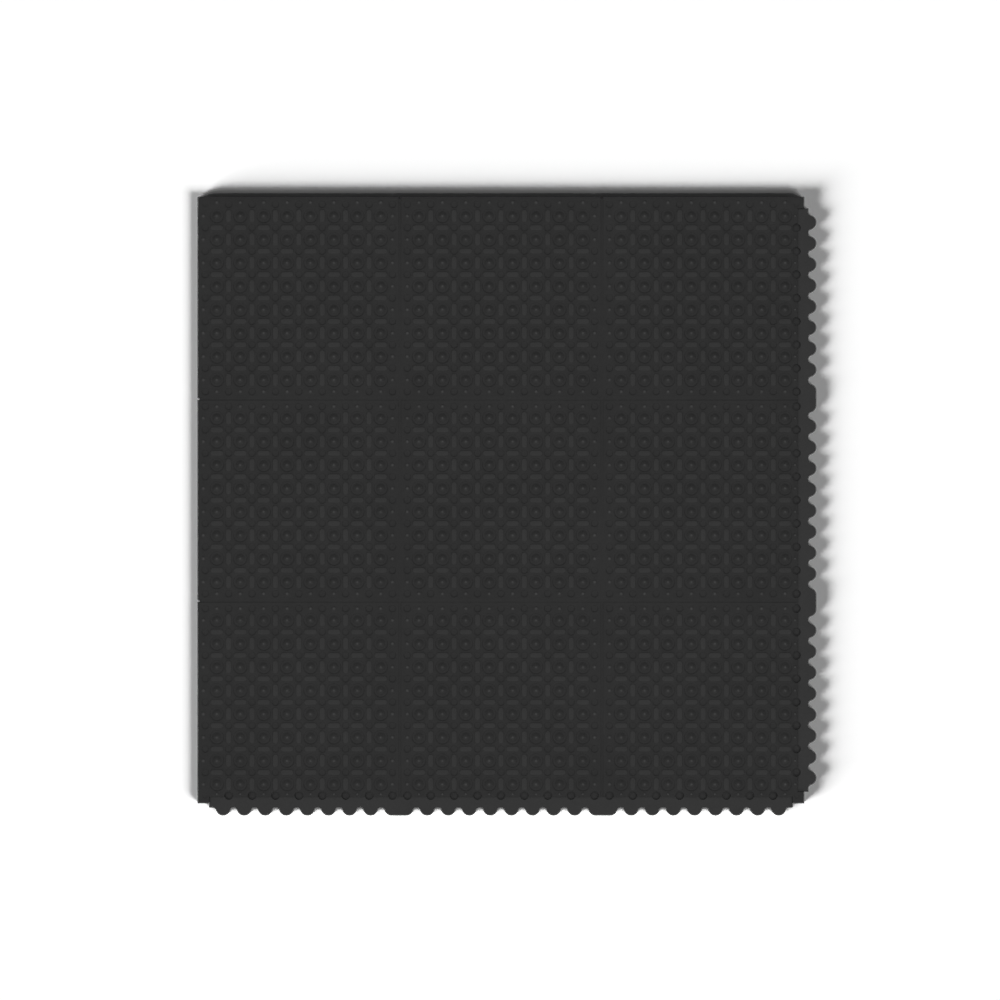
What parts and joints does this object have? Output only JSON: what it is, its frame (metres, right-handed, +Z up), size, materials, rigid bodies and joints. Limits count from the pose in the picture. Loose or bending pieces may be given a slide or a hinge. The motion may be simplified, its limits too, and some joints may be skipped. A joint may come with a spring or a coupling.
{
  "type": "anti-fatigue floor tile",
  "caption": "Square interlocking rubber floor tile with a domed cushioning top, two low scalloped joining flanges and two recessed edges that lie over a neighbour's flanges.",
  "frame": {"origin": "middle of the square body, without its flanges, on the underside that rests on the floor", "axes": "+Z up, out of the domed top; +X and -Y point out across the two scalloped flanges"},
  "size_m": [0.933, 0.933, 0.0159],
  "materials": {
    "rubber": "matte moulded black rubber"
  },
  "bodies": {
    "root": {"tile": "rubber"}
  },
  "joints": []
}
